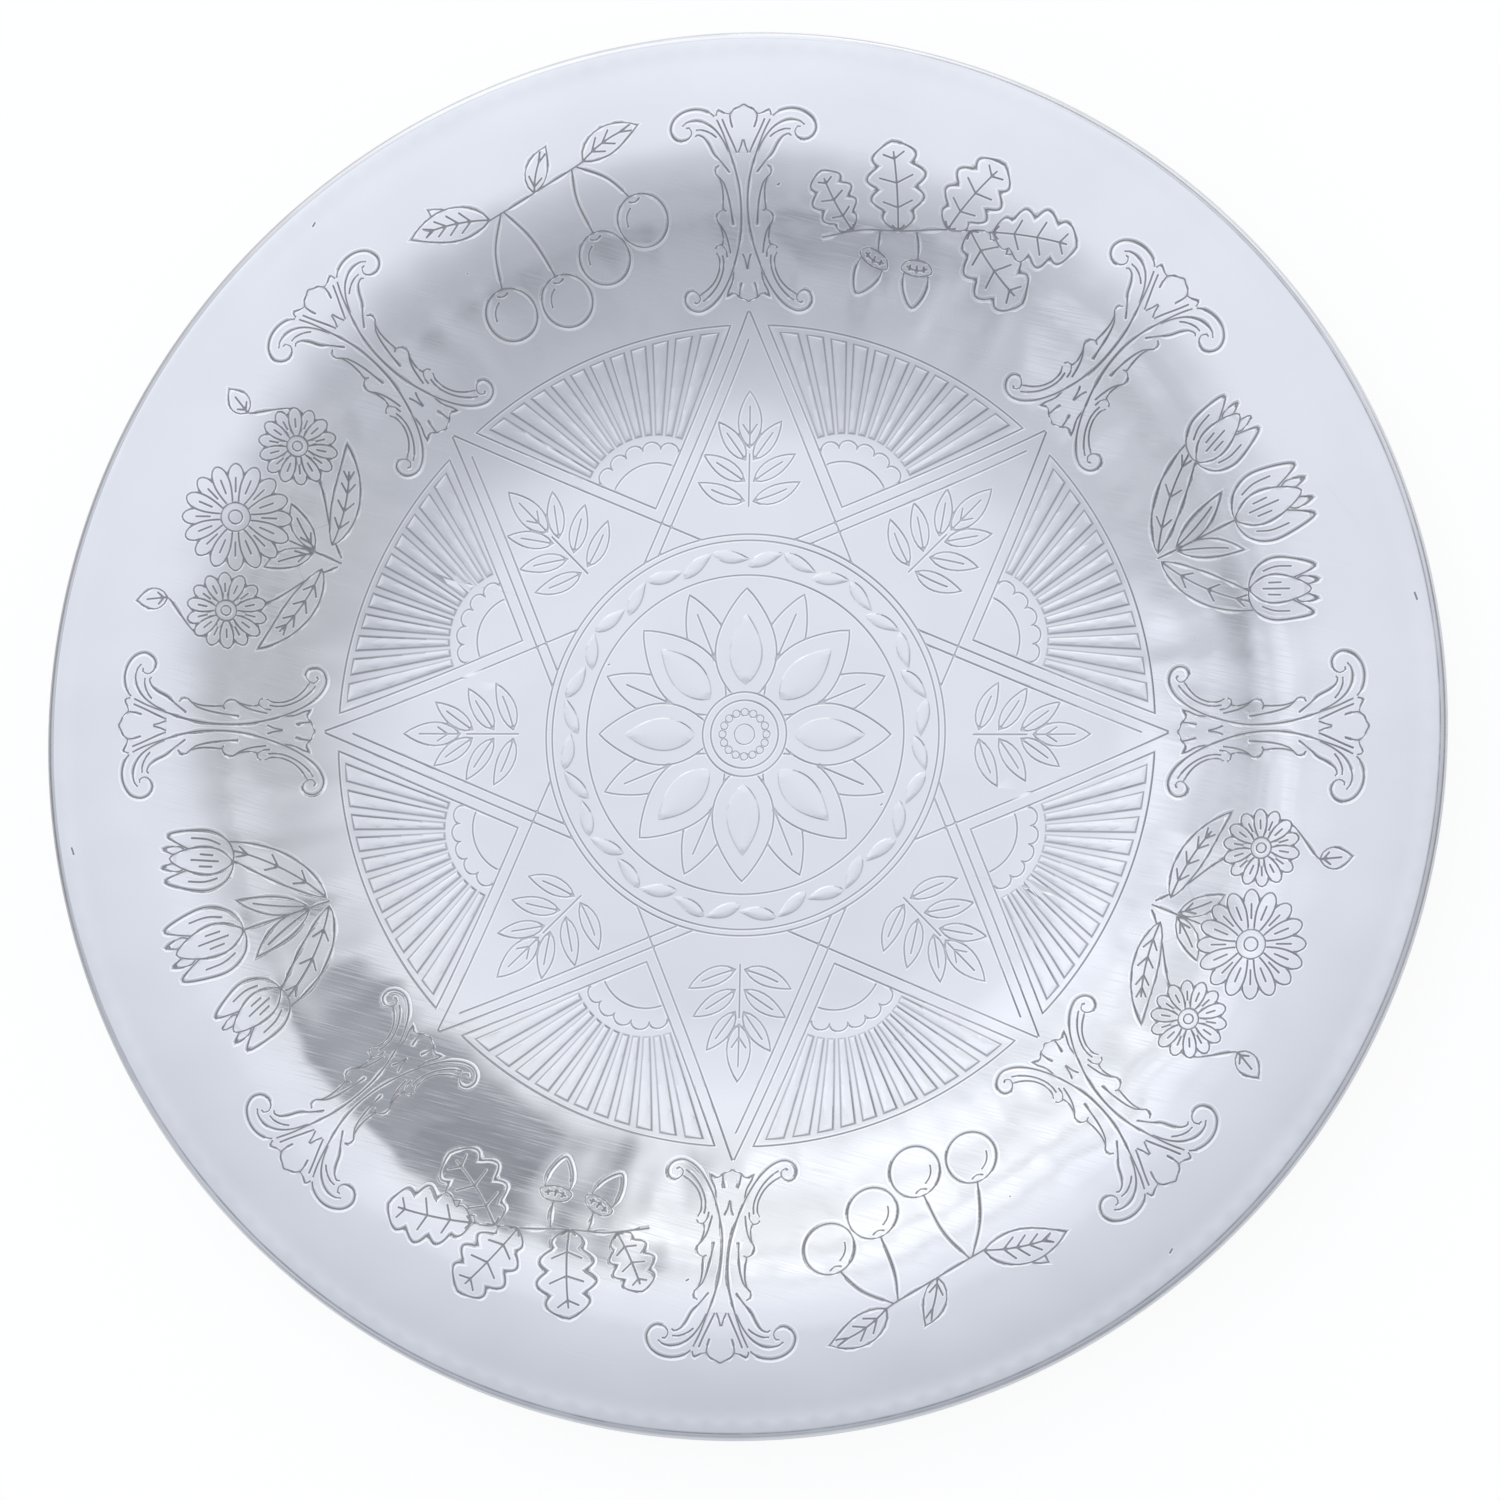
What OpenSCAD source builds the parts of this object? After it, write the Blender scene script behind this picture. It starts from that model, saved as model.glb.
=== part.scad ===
// Round silver-plated tray: one pressed sheet with a shallow well, a curved wall and a wide rim,
// and a half-oval wire soldered round its edge. Millimetres, +Z up, underside of the well at z = 0.

/* [Tray] */
// Diameter over the edge of the tray
tray_d = 270; // [258:1:320]
// Thickness of the pressed sheet
sheet_t = 0.9; // [0.6:0.1:1.5]

/* [Wall] */
// Slope of the wall at its steepest, in degrees
wall_angle = 27; // [22:1:30]
// Straight stretch between the two bends of the wall
wall_len = 1; // [0.5:0.5:6]
// Radius of the long bend from the well to the wall, on the upper face
foot_r = 94; // [84:1:104]
// Radius of the bend at the shoulder of the wall, on the underside
shoulder_r = 38; // [28:1:44]

/* [Rim] */
// Width of the rim, from the shoulder of the wall to the bend beside the edge
rim_w = 13.2; // [8:0.1:20]
// Slope of the rim beside the shoulder, in degrees
rim_in_angle = 0.8; // [0.2:0.1:4]
// Slope of the rim beside the bend at the edge, in degrees; below zero it falls
rim_out_angle = -2.8; // [-4:0.1:-0.2]
// Radius of the bend that levels the sheet off towards its edge, on the upper face
level_r = 60; // [40:1:100]
// Width of the level edge of the sheet
level_w = 1.8; // [0.8:0.1:3]

/* [Edge wire] */
// Width of the half-oval wire, from the edge of the sheet outwards
wire_w = 1.4; // [1:0.1:2.2]
// Height of the half-oval wire, along its flat side
wire_h = 2.8; // [2:0.1:4]

/* [Stamped lines of the well] */
// Depth of the stamped lines
stamp_depth = 0.15; // [0.05:0.05:0.3]
// Width of a stamped line
line_w = 0.5; // [0.3:0.1:0.8]
// Diameter of the outer ring of the medallion
medallion_d = 78; // [64:1:82]
// Distance from the outer ring of the medallion to its inner ring
border_w = 8; // [4:0.5:14]
// Number of points of the star
star_points = 8; // [8:1:9]
// Distance from the edge of the tray to the tips of the star
star_margin = 52.5; // [48:0.5:60]
// Distance between the two lines that draw the star
band_w = 2; // [1.2:0.1:3]
// Distance from the star to the border of a fan
fan_gap = 2.2; // [1.5:0.1:4]
// Distance from the outer arc of a fan to the circle of the star's tips
fan_margin = 3; // [2:0.5:7]
// Radius of the hub of a fan
hub_r = 9; // [6:0.5:11]
// Number of rays in a fan
fan_rays = 11; // [7:2:15]
// Distance from the point of a fan to the inner ends of its rays
ray_start = 14.5; // [12:0.5:17]
// Distance from the outer ends of the rays to the outer arc
ray_gap = 1.2; // [1:0.1:3]

/* [Hidden] */

$fn = 180;
// Each point of the star is joined to the third one after it
star_skip = 3;
// Straight steps that draw the long bend, the shoulder, the slight bends of the rim and the round of the wire
foot_steps = 6;
shoulder_steps = 10;
rim_steps = 3;
wire_steps = 16;
// How far a cutting shape stands above the face that it cuts
overcut = 1;

edge_r = tray_d / 2;
sheet_r = edge_r - wire_w;
medallion_r = medallion_d / 2;

// Radii on the underside of the bends that are concave above, and of the rim, which arches
foot_under_r = foot_r + sheet_t;
level_under_r = level_r + sheet_t;
rim_r = rim_w / (sin(rim_in_angle) - sin(rim_out_angle));

// Radius of the flat middle of the well: what the bends, the rim and the edge leave of the sheet
foot_run = foot_under_r * sin(wall_angle);
shoulder_run = shoulder_r * (sin(wall_angle) - sin(rim_in_angle));
level_run = level_w - level_under_r * sin(rim_out_angle);
flat_r = sheet_r - level_run - rim_w - shoulder_run - wall_len * cos(wall_angle) - foot_run;

// The star, and the fans in its notches
star_half_angle = 180 * star_skip / star_points;
star_r = edge_r - star_margin;
chord_distance = star_r * cos(star_half_angle);
notch_half_angle = 90 - 180 * (star_skip - 1) / star_points;
notch_r = chord_distance / sin(notch_half_angle);
fan_r = notch_r + fan_gap / sin(notch_half_angle);
fan_end_r = star_r - fan_margin;

// Unit vectors up a slope and square to it, towards the upper face
function along(slope) = [cos(slope), sin(slope)];
function above(slope) = [-sin(slope), cos(slope)];

// Half section of the underside, from the flat of the well to the edge
foot_centre = [flat_r, foot_under_r];
wall_start = foot_centre - foot_under_r * above(wall_angle);
wall_end = wall_start + wall_len * along(wall_angle);
shoulder_centre = wall_end - shoulder_r * above(wall_angle);
rim_centre = shoulder_centre + (shoulder_r - rim_r) * above(rim_in_angle);
level_centre = rim_centre + (rim_r + level_under_r) * above(rim_out_angle);
sheet_end = level_centre + [level_w, -level_under_r];

// One face of the sheet, from the flat of the well to the edge, lifted off the underside
function slopes(from, to, steps) = [for (i = [0 : steps]) from + (to - from) * i / steps];
function next_slopes(from, to, steps) = [for (i = [1 : steps]) from + (to - from) * i / steps];
function foot(lift) = [for (s = slopes(0, wall_angle, foot_steps)) foot_centre - (foot_under_r - lift) * above(s)];
function face(lift) = concat(
    foot(lift),
    [for (s = slopes(wall_angle, rim_in_angle, shoulder_steps)) shoulder_centre + (shoulder_r + lift) * above(s)],
    [for (s = next_slopes(rim_in_angle, rim_out_angle, rim_steps)) rim_centre + (rim_r + lift) * above(s)],
    [for (s = next_slopes(rim_out_angle, 0, rim_steps)) level_centre - (level_under_r - lift) * above(s)],
    [sheet_end + lift * above(0)]
);
function reversed(points) = [for (i = [len(points) - 1 : -1 : 0]) points[i]];

// Half section of the whole sheet
module sheet_section() {
    polygon(concat([[0, 0]], face(0), reversed(face(sheet_t)), [[0, sheet_t]]));
}

// Half section of the layer of the well and the long bend that the stamped lines go through
module stamped_section() {
    floor_lift = sheet_t - stamp_depth;
    top_lift = sheet_t + overcut;
    polygon(concat([[0, floor_lift]], foot(floor_lift), reversed(foot(top_lift)), [[0, top_lift]]));
}

// Line of the decoration, from the origin along +X
module stamped_line(length) {
    translate([0, -line_w / 2])
        square([length, line_w]);
}

// Ring of the decoration
module stamped_ring(radius) {
    difference() {
        circle(radius + line_w / 2);
        circle(radius - line_w / 2);
    }
}

// One line of the star, square to +X, from tip to tip
module star_line(distance) {
    half_len = distance * tan(star_half_angle);
    translate([distance, -half_len])
        rotate(90)
            stamped_line(2 * half_len);
}

// Double-lined star, which stops at the medallion
module star() {
    difference() {
        for (i = [0 : star_points - 1])
            rotate((i + 0.5) * 360 / star_points) {
                star_line(chord_distance);
                star_line(chord_distance - band_w);
            }
        circle(medallion_r + line_w);
    }
}

// Distance from the point of a fan to a circle around the tray's axis, in a given direction
function fan_reach(radius, angle) = sqrt(pow(radius, 2) - pow(fan_r * sin(angle), 2)) - fan_r * cos(angle);

// Border, hub and rays of the fan in the notch that points along +X
module fan() {
    border_len = fan_reach(fan_end_r, notch_half_angle);
    border_end = border_len * along(notch_half_angle);
    translate([fan_r, 0]) {
        for (side = [-1, 1])
            rotate(side * notch_half_angle)
                stamped_line(border_len);
        for (i = [0 : fan_rays - 1]) {
            angle = notch_half_angle * ((2 * i + 1) / fan_rays - 1);
            rotate(angle)
                translate([ray_start, 0])
                    stamped_line(fan_reach(fan_end_r - ray_gap, angle) - ray_start);
        }
    }
    intersection() {
        union() {
            stamped_ring(fan_end_r);
            translate([fan_r, 0])
                stamped_ring(hub_r);
        }
        translate([fan_r, 0])
            polygon([[0, 0], border_end, [star_r, 0], [border_end[0], -border_end[1]]]);
    }
}

// Everything that is stamped into the well, seen from above
module well_decoration() {
    star();
    stamped_ring(medallion_r);
    stamped_ring(medallion_r - border_w);
    for (i = [0 : star_points - 1])
        rotate((i + 0.5) * 360 / star_points)
            fan();
}

// Pressed sheet with its well, wall, rim and level edge
module tray_body() {
    color("gainsboro")
        difference() {
            rotate_extrude()
                sheet_section();
            intersection() {
                linear_extrude(wall_end[1] + sheet_t + overcut)
                    well_decoration();
                rotate_extrude()
                    stamped_section();
            }
        }
}

// Half-oval wire, with its flat side on the cut edge of the sheet and its top level with the upper face
module edge_wire() {
    wire_centre = sheet_end + [0, sheet_t - wire_h / 2];
    color("silver")
        rotate_extrude()
            polygon([for (s = slopes(-90, 90, wire_steps)) wire_centre + [wire_w * cos(s), wire_h / 2 * sin(s)]]);
}

tray_body();
edge_wire();
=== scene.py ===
import math

import bpy
import numpy as np
from mathutils import Matrix, Vector
from mathutils.geometry import delaunay_2d_cdt
from mathutils.kdtree import KDTree


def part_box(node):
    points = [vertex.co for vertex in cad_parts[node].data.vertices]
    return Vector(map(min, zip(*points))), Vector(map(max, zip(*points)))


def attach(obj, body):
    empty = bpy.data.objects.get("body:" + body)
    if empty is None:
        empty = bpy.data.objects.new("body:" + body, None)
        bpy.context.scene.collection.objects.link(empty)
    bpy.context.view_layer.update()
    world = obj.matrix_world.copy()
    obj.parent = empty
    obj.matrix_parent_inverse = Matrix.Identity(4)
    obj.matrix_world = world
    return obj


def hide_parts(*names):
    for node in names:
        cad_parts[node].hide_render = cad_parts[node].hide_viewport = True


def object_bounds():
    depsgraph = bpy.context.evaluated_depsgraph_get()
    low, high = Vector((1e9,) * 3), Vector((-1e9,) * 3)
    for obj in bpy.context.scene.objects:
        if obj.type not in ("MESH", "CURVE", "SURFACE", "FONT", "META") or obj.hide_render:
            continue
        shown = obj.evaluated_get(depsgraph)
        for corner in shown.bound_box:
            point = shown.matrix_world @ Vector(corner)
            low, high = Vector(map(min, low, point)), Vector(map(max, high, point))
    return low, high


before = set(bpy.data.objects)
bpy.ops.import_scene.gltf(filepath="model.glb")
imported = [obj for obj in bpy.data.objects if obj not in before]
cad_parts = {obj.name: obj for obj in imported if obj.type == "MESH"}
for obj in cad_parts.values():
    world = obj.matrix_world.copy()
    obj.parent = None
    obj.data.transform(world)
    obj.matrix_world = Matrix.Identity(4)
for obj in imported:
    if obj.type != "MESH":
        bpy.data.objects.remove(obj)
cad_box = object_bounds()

# TRAY BODY
# One disc of silver-plated sheet, pressed into a shallow well, a curved wall and a wide rim that levels off
# at its edge. The decoration is stamped into its upper face as soft grooves and low relief, and the face is
# polished.
MM = 0.001
sheet_t = 0.9
foot_r = 94.0
wall_angle = 27.0
wall_len = 1.0
shoulder_r = 38.0
rim_w = 13.2
rim_in_angle = 0.8
rim_out_angle = -2.8
level_r = 60.0
level_w = 1.8
worn_w = 1.0
worn_angle = -6.0
joint_w = 0.3
sheet_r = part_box("tray_body")[1].x / MM


def along(slope):
    """Unit vector up a slope, as (radius, height)"""
    return np.array([math.cos(math.radians(slope)), math.sin(math.radians(slope))])


def above(slope):
    """Unit vector square to a slope, towards the upper face"""
    return np.array([-math.sin(math.radians(slope)), math.cos(math.radians(slope))])


# Half section of the underside: the long bend from the flat well into the wall, the shoulder, the rim, which
# arches a little, and the slight bend to the level edge
foot_under_r = foot_r + sheet_t
level_under_r = level_r + sheet_t
rim_r = rim_w / (along(rim_in_angle) - along(rim_out_angle))[1]
foot_run = foot_under_r * along(wall_angle)[1]
shoulder_run = shoulder_r * (along(wall_angle) - along(rim_in_angle))[1]
level_run = level_w - level_under_r * along(rim_out_angle)[1]
flat_r = sheet_r - level_run - rim_w - shoulder_run - wall_len * along(wall_angle)[0] - foot_run
foot_centre = np.array([flat_r, foot_under_r])
wall_end = foot_centre - foot_under_r * above(wall_angle) + wall_len * along(wall_angle)
shoulder_centre = wall_end - shoulder_r * above(wall_angle)
rim_centre = shoulder_centre + (shoulder_r - rim_r) * above(rim_in_angle)
level_centre = rim_centre + (rim_r + level_under_r) * above(rim_out_angle)
sheet_end = level_centre + np.array([level_w, -level_under_r])
bends = (
    (foot_centre, -foot_under_r, 0.0, wall_angle),
    (shoulder_centre, shoulder_r, wall_angle, rim_in_angle),
    (rim_centre, rim_r, rim_in_angle, rim_out_angle),
    (level_centre, -level_under_r, rim_out_angle, 0.0),
)


def face_section(lift, steps, *ends):
    """Radius, height and slope along one face of the sheet, from its centre to the given ends at its edge"""
    rows = [(0.0, lift, 0.0)]
    for centre, radius, slope_in, slope_out in bends:
        for slope in np.linspace(slope_in, slope_out, steps + 1):
            rows.append((*(centre + (radius + lift) * above(slope)), slope))
    return np.array(rows + [(*(sheet_end + [ahead, up]), slope) for ahead, up, slope in ends])


# Polishing has worn the upper face down a little beside the wire
worn_depth = worn_w * math.tan(math.radians(-worn_angle)) / 2
worn_edge = (0, sheet_t - worn_depth, worn_angle)
upper_steps = 16
lower_steps = 8
upper_face = face_section(sheet_t, upper_steps, (-worn_w, sheet_t, 0.0), worn_edge)
lower_face = face_section(0.0, lower_steps, (0, 0, 0.0))

# Drawing of the engraving, seen from above in millimetres. A line is its points, the width of its groove and
# whether it is closed. A drawing is a list of lines with +y towards the rim, and headings turn right from +y.
# A closed line of no width isn't cut: it only hides what lies behind it.
outline_w = 1.6
well_w = 0.8
vein_w = 0.8
fine_w = 0.54
line_step = 0.8


def curve(points, closed=False, step=line_step):
    """Smooth curve through the points, with a new point about every step"""
    p = np.asarray(points, float)
    if closed:
        q = np.vstack([p[-1:], p, p[:2]])
    else:
        q = np.vstack([2 * p[:1] - p[1:2], p, 2 * p[-1:] - p[-2:-1]])
    stretches = []
    for a, b, c, d in zip(q, q[1:], q[2:], q[3:]):
        count = max(2, math.ceil(np.linalg.norm(c - b) / step))
        t = (np.arange(count) / count)[:, None]
        bend = 2 * a - 5 * b + 4 * c - d + t * (3 * (b - c) + d - a)
        stretches.append(b + 0.5 * t * (c - a + t * bend))
    if not closed:
        stretches.append(p[-1:])
    return np.vstack(stretches)


def shape(*points):
    return (curve(points, closed=True), outline_w, True)


def stroke(*points):
    return (curve(points), outline_w, False)


def vein(*points):
    return (curve(points), vein_w, False)


def arc(centre, radius, start, stop, step=line_step):
    """Points on an arc from one angle to another, in degrees from +x"""
    count = max(3, math.ceil(abs(math.radians(stop - start)) * radius / step) + 1)
    a = np.radians(np.linspace(start, stop, count))
    return np.asarray(centre) + radius * np.stack([np.cos(a), np.sin(a)], -1)


def ring(centre, radius, width=outline_w, step=line_step):
    return (arc(centre, radius, 0, 360, step)[:-1], width, True)


def moved(lines, at, heading=0.0, scale=1.0):
    """The drawing turned to a heading, scaled, and moved so that its origin is at a point"""
    a = math.radians(heading)
    axes = scale * np.array([[math.cos(a), -math.sin(a)], [math.sin(a), math.cos(a)]])
    return [(np.asarray(at) + points @ axes, width, closed) for points, width, closed in lines]


def placed(lines, radius, heading):
    """The drawing moved out from the tray's axis and then turned about it to a heading"""
    return moved(moved(lines, (0, radius)), (0, 0), heading)


def mirrored(lines):
    return lines + [(points * [-1, 1], width, closed) for points, width, closed in lines]


def inside(points, outline):
    """Which of the points lie inside a closed outline"""
    x, y = points[:, :1], points[:, 1:]
    x0, y0 = outline.T
    x1, y1 = np.roll(outline, -1, 0).T
    level = np.where(y0 == y1, 1.0, y1 - y0)
    crossed = ((y0 > y) != (y1 > y)) & (x < x0 + (y - y0) * (x1 - x0) / level)
    return crossed.sum(1) % 2 == 1


def looped(points, closed):
    """The points of a line, with the first one again after the last one where the line is closed"""
    return np.vstack([points, points[:1]]) if closed else points


def behind(lines, front):
    """What shows of the lines behind the closed shapes of another drawing"""
    finer = 8
    shown = []
    for points, width, closed in lines:
        if width == 0:
            shown.append((points, width, closed))
            continue
        path = looped(points, closed)
        at = np.arange((len(path) - 1) * finer + 1)
        fine = np.stack([np.interp(at / finer, np.arange(len(path)), path[:, k]) for k in (0, 1)], -1)
        hidden = np.zeros(len(fine), bool)
        for other, _, other_closed in front:
            if other_closed:
                hidden |= inside(fine, other)
        if not hidden.any():
            shown.append((points, width, closed))
            continue
        if closed:
            shown.append((points, 0.0, True))
            order = (np.arange(len(fine) - 1) + int(np.argmax(hidden))) % (len(fine) - 1)
            fine, hidden, at = fine[order], hidden[order], at[order]
        changes = np.flatnonzero(np.diff(hidden)) + 1
        for run in np.split(np.arange(len(fine)), changes):
            if hidden[run[0]] or len(run) < finer:
                continue
            keep = run[(at[run] % finer == 0) | (run == run[0]) | (run == run[-1])]
            shown.append((fine[keep], width, False))
    return shown


def layered(*drawings):
    """Drawings laid over each other, the front one first"""
    lines = []
    for drawing in drawings:
        lines += behind(drawing, lines)
    return lines


def blade(base, heading, length, bend, half_width, count):
    """Axis and both edges of a leaf that turns by a bend as it grows"""
    t = np.linspace(0, 1, count)
    a = np.radians(heading + bend * t)
    way = np.stack([np.sin(a), np.cos(a)], -1)
    steps = (way[1:] + way[:-1]) / 2 * length / (count - 1)
    axis = np.asarray(base, float) + np.vstack([[0, 0], np.cumsum(steps, 0)])
    side = np.stack([way[:, 1], -way[:, 0]], -1) * half_width(t)[:, None]
    return axis, axis + side, axis - side


def leaf_blade(base, heading, length, width, bend, count):
    """Axis and edges of a pointed leaf"""
    return blade(base, heading, length, bend,
                 lambda t: width / 2 * np.abs(np.sin(np.pi * t ** 0.85)) ** 0.85, count)


def leaf(base, heading, length, width, bend=0.0, veins=0, line_w=outline_w):
    """Pointed leaf with its midrib and pairs of side veins"""
    count = max(9, int(length / 1.1))
    axis, right, left = leaf_blade(base, heading, length, width, bend, count)
    lines = [(np.vstack([right[:-1], left[:0:-1]]), line_w, True), (axis[: int(count * 0.82)], vein_w, False)]
    for i in np.linspace(0.22, 0.66, veins) * count:
        root, tip = int(i), min(count - 2, int(i) + 2)
        for edge in (right, left):
            end = 0.28 * axis[tip] + 0.72 * edge[tip]
            lines.append((np.array([axis[root], end]), vein_w, False))
    return lines


def oak_leaf(base, heading, length, bend=0.0):
    """Leaf with round lobes along both edges"""
    count = 49
    midrib = 44
    lobes = 4

    def half_width(t):
        lobe = 0.62 + 0.38 * np.abs(np.sin(np.pi * lobes * t ** 0.9))
        return 0.34 * length * np.abs(np.sin(np.pi * t ** 1.15)) ** 0.5 * lobe

    axis, right, left = blade(base, heading, length, bend, half_width, count)
    lines = [(np.vstack([right[:-1], left[:0:-1]]), outline_w, True), (axis[:midrib], vein_w, False)]
    for k in range(lobes):
        tip = int(count * ((k + 0.5) / lobes) ** (1 / 0.9))
        for edge in (right, left):
            end = 0.35 * axis[tip] + 0.65 * edge[tip]
            lines.append((np.array([axis[max(0, tip - 4)], end]), vein_w, False))
    return lines


def acorn():
    """Acorn that hangs by its cup and points along +y"""
    cup = shape((0, 0), (2.5, 0.5), (3.1, 2.2), (0, 3.0), (-3.1, 2.2), (-2.5, 0.5))
    nut = shape((0, 1.5), (2.4, 2.4), (2.5, 5.2), (1.4, 7.8), (0, 9.2), (-1.4, 7.8), (-2.5, 5.2), (-2.4, 2.4))
    checks = [vein((-2.6, 1.2), (0, 2.0), (2.6, 1.2))]
    checks += [vein((x, 0.5), (1.25 * x, 2.5)) for x in (-1.3, 0.0, 1.3)]
    return layered([cup] + checks, [nut], [vein((-1.2, 4.2), (-1.0, 6.6), (-0.3, 7.8))])


def oak_sprig():
    leaves = oak_leaf((8.5, 4.2), 72, 16.5, 14)
    leaves = layered(leaves, oak_leaf((0, 1.6), 14, 16.5, 12), oak_leaf((-9, -2.0), -20, 17, -12))
    leaves = layered(leaves, oak_leaf((-17.5, -5.0), -58, 12.5, 16), oak_leaf((4.2, 3.0), 132, 17, -20))
    acorns = moved(acorn(), (-11.5, -6.8), 190, 0.95) + moved(acorn(), (-3.6, -5.6), 168, 0.95)
    twigs = [stroke((-23, -8.5), (-16, -4.4), (-8, -1.6), (0, 1.6), (8.5, 4.2))]
    twigs += [stroke((-12.4, -3.0), (-12.0, -4.8), (-11.5, -6.8))]
    twigs += [stroke((-5.6, -0.8), (-4.4, -3.0), (-3.6, -5.6))]
    return layered(acorns, leaves, twigs)


def tulip():
    """Cup of a tulip on its stem's end, opening along +y"""
    middle = [shape((0, 0), (2.7, 3.4), (2.5, 8.2), (0, 12.8), (-2.5, 8.2), (-2.7, 3.4))]
    middle += [vein((0, 2.2), (0, 8.8)), vein((-1.2, 3.4), (-1.3, 7.0)), vein((1.2, 3.4), (1.3, 7.0))]
    side = [shape((0, 0), (3.8, 0.7), (6.2, 4.2), (6.2, 8.8), (5.0, 13.4), (3.2, 11.0), (0.8, 5.0))]
    side += [vein((3.4, 2.2), (4.5, 5.2), (4.6, 9.0))]
    back = [shape((0, 8), (2.6, 10.6), (2.0, 14.2), (0.9, 12.0), (0, 9))]
    return layered(middle, mirrored(side), mirrored(back))


def tulips():
    heads = moved(tulip(), (0, 1.0), 0, 1.05)
    leaves = leaf((0.4, -11.5), 17, 13, 3.6, 16)
    low_leaves = leaf((0.8, -15.2), 62, 25, 5.6, -34, 3)
    stems = [stroke((0, -16), (0, -7), (0, 1))]
    side = moved(tulip(), (13.2, -1.6), 24, 0.92)
    side_stem = [stroke((0.6, -15.5), (4.6, -10.4), (10.0, -6.2), (13.2, -1.6))]
    return layered(heads, mirrored(side), mirrored(leaves), mirrored(low_leaves), stems + mirrored(side_stem))


def cherry(at, stem_top):
    """Cherry with its highlight, on a stem from the twig"""
    radius = 4.9
    at = np.asarray(at, float)
    fruit = [ring(at, radius), (arc(at, 0.64 * radius, 105, 190), vein_w, False)]
    dimple = at + [0, 0.72 * radius]
    fruit.append((curve([dimple + [-1.5, 0.7], dimple, dimple + [1.5, 0.7]]), vein_w, False))
    middle = 0.5 * (dimple + np.asarray(stem_top)) + [0.9 if at[0] > stem_top[0] else -0.9, 0.8]
    return fruit, [(curve([dimple, middle, stem_top]), outline_w, False)]


def cherries():
    fruits, stems = [], []
    for at, top in (((-11.5, -9.5), (-5.5, 8.4)), ((-0.5, -11.0), (-5.0, 8.6)),
                    ((9.6, -6.6), (10.5, 11.0)), ((19.4, -3.2), (11.2, 11.2))):
        fruit, stem = cherry(at, top)
        fruits = layered(fruits, fruit)
        stems += stem
    leaves = layered(leaf((-8, 8.0), -68, 16, 6.6, -26, 4), leaf((2, 9.4), 20, 9.5, 4.4, 30, 2),
                     leaf((13, 11.4), 62, 13, 5.6, 34, 3), leaf((-14, 7.4), -22, 8.5, 4.0, -20, 2))
    twig = [stroke((-21, 9.2), (-14, 7.4), (-5, 8.4), (5, 10.0), (13, 11.4), (17, 13.4))]
    return layered(fruits, leaves, stems + twig)


def whorl(petal, petals, scale=1.0):
    """Petals round the origin in two layers, with every other one under its neighbours"""
    turned = [moved(petal, (0, 0), 360 * i / petals, scale) for i in range(petals)]
    return sum(turned[::2], []), sum(turned[1::2], [])


def daisy(radius, petals):
    """Open daisy round the origin"""
    half = 0.5 * 1.12 * 2 * math.pi * 0.62 / petals
    petal = [(0, 0.2), (half, 0.56), (0.94 * half, 0.88), (0, 1.0), (-0.94 * half, 0.88), (-half, 0.56)]
    petal = curve(petal, closed=True, step=line_step / radius)
    crease = curve([(0, 0.42), (0, 0.78)], step=2 * line_step / radius)
    eye = [ring((0, 0), 0.27 * radius), ring((0, 0), 0.13 * radius, vein_w, 0.5)]
    return layered(eye, *whorl([(petal, vein_w, True), (crease, vein_w, False)], petals, radius))


def daisies():
    flowers = moved(daisy(10.4, 16), (0, 4.8))
    side = moved(daisy(7.4, 14), (17.4, -0.6), 12)
    bud = leaf((19.5, 10.5), 28, 6.2, 4.2, 0, 1)
    leaves = leaf((2.4, -13.2), 92, 20, 5.0, -30, 4)
    inner_leaves = leaf((0.4, -10.6), 34, 9.5, 3.6, 16, 1)
    stems = [stroke((0.6, -16), (5.5, -11.6), (11.5, -7.8), (15, -4))]
    stems += [stroke((12.4, -7.2), (23.6, 0.6), (19.5, 10.5))]
    middle = [stroke((0, -16.5), (0, -10), (0, -4))]
    return layered(flowers, mirrored(side), mirrored(bud), mirrored(leaves), mirrored(inner_leaves),
                   middle + mirrored(stems))


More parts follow.
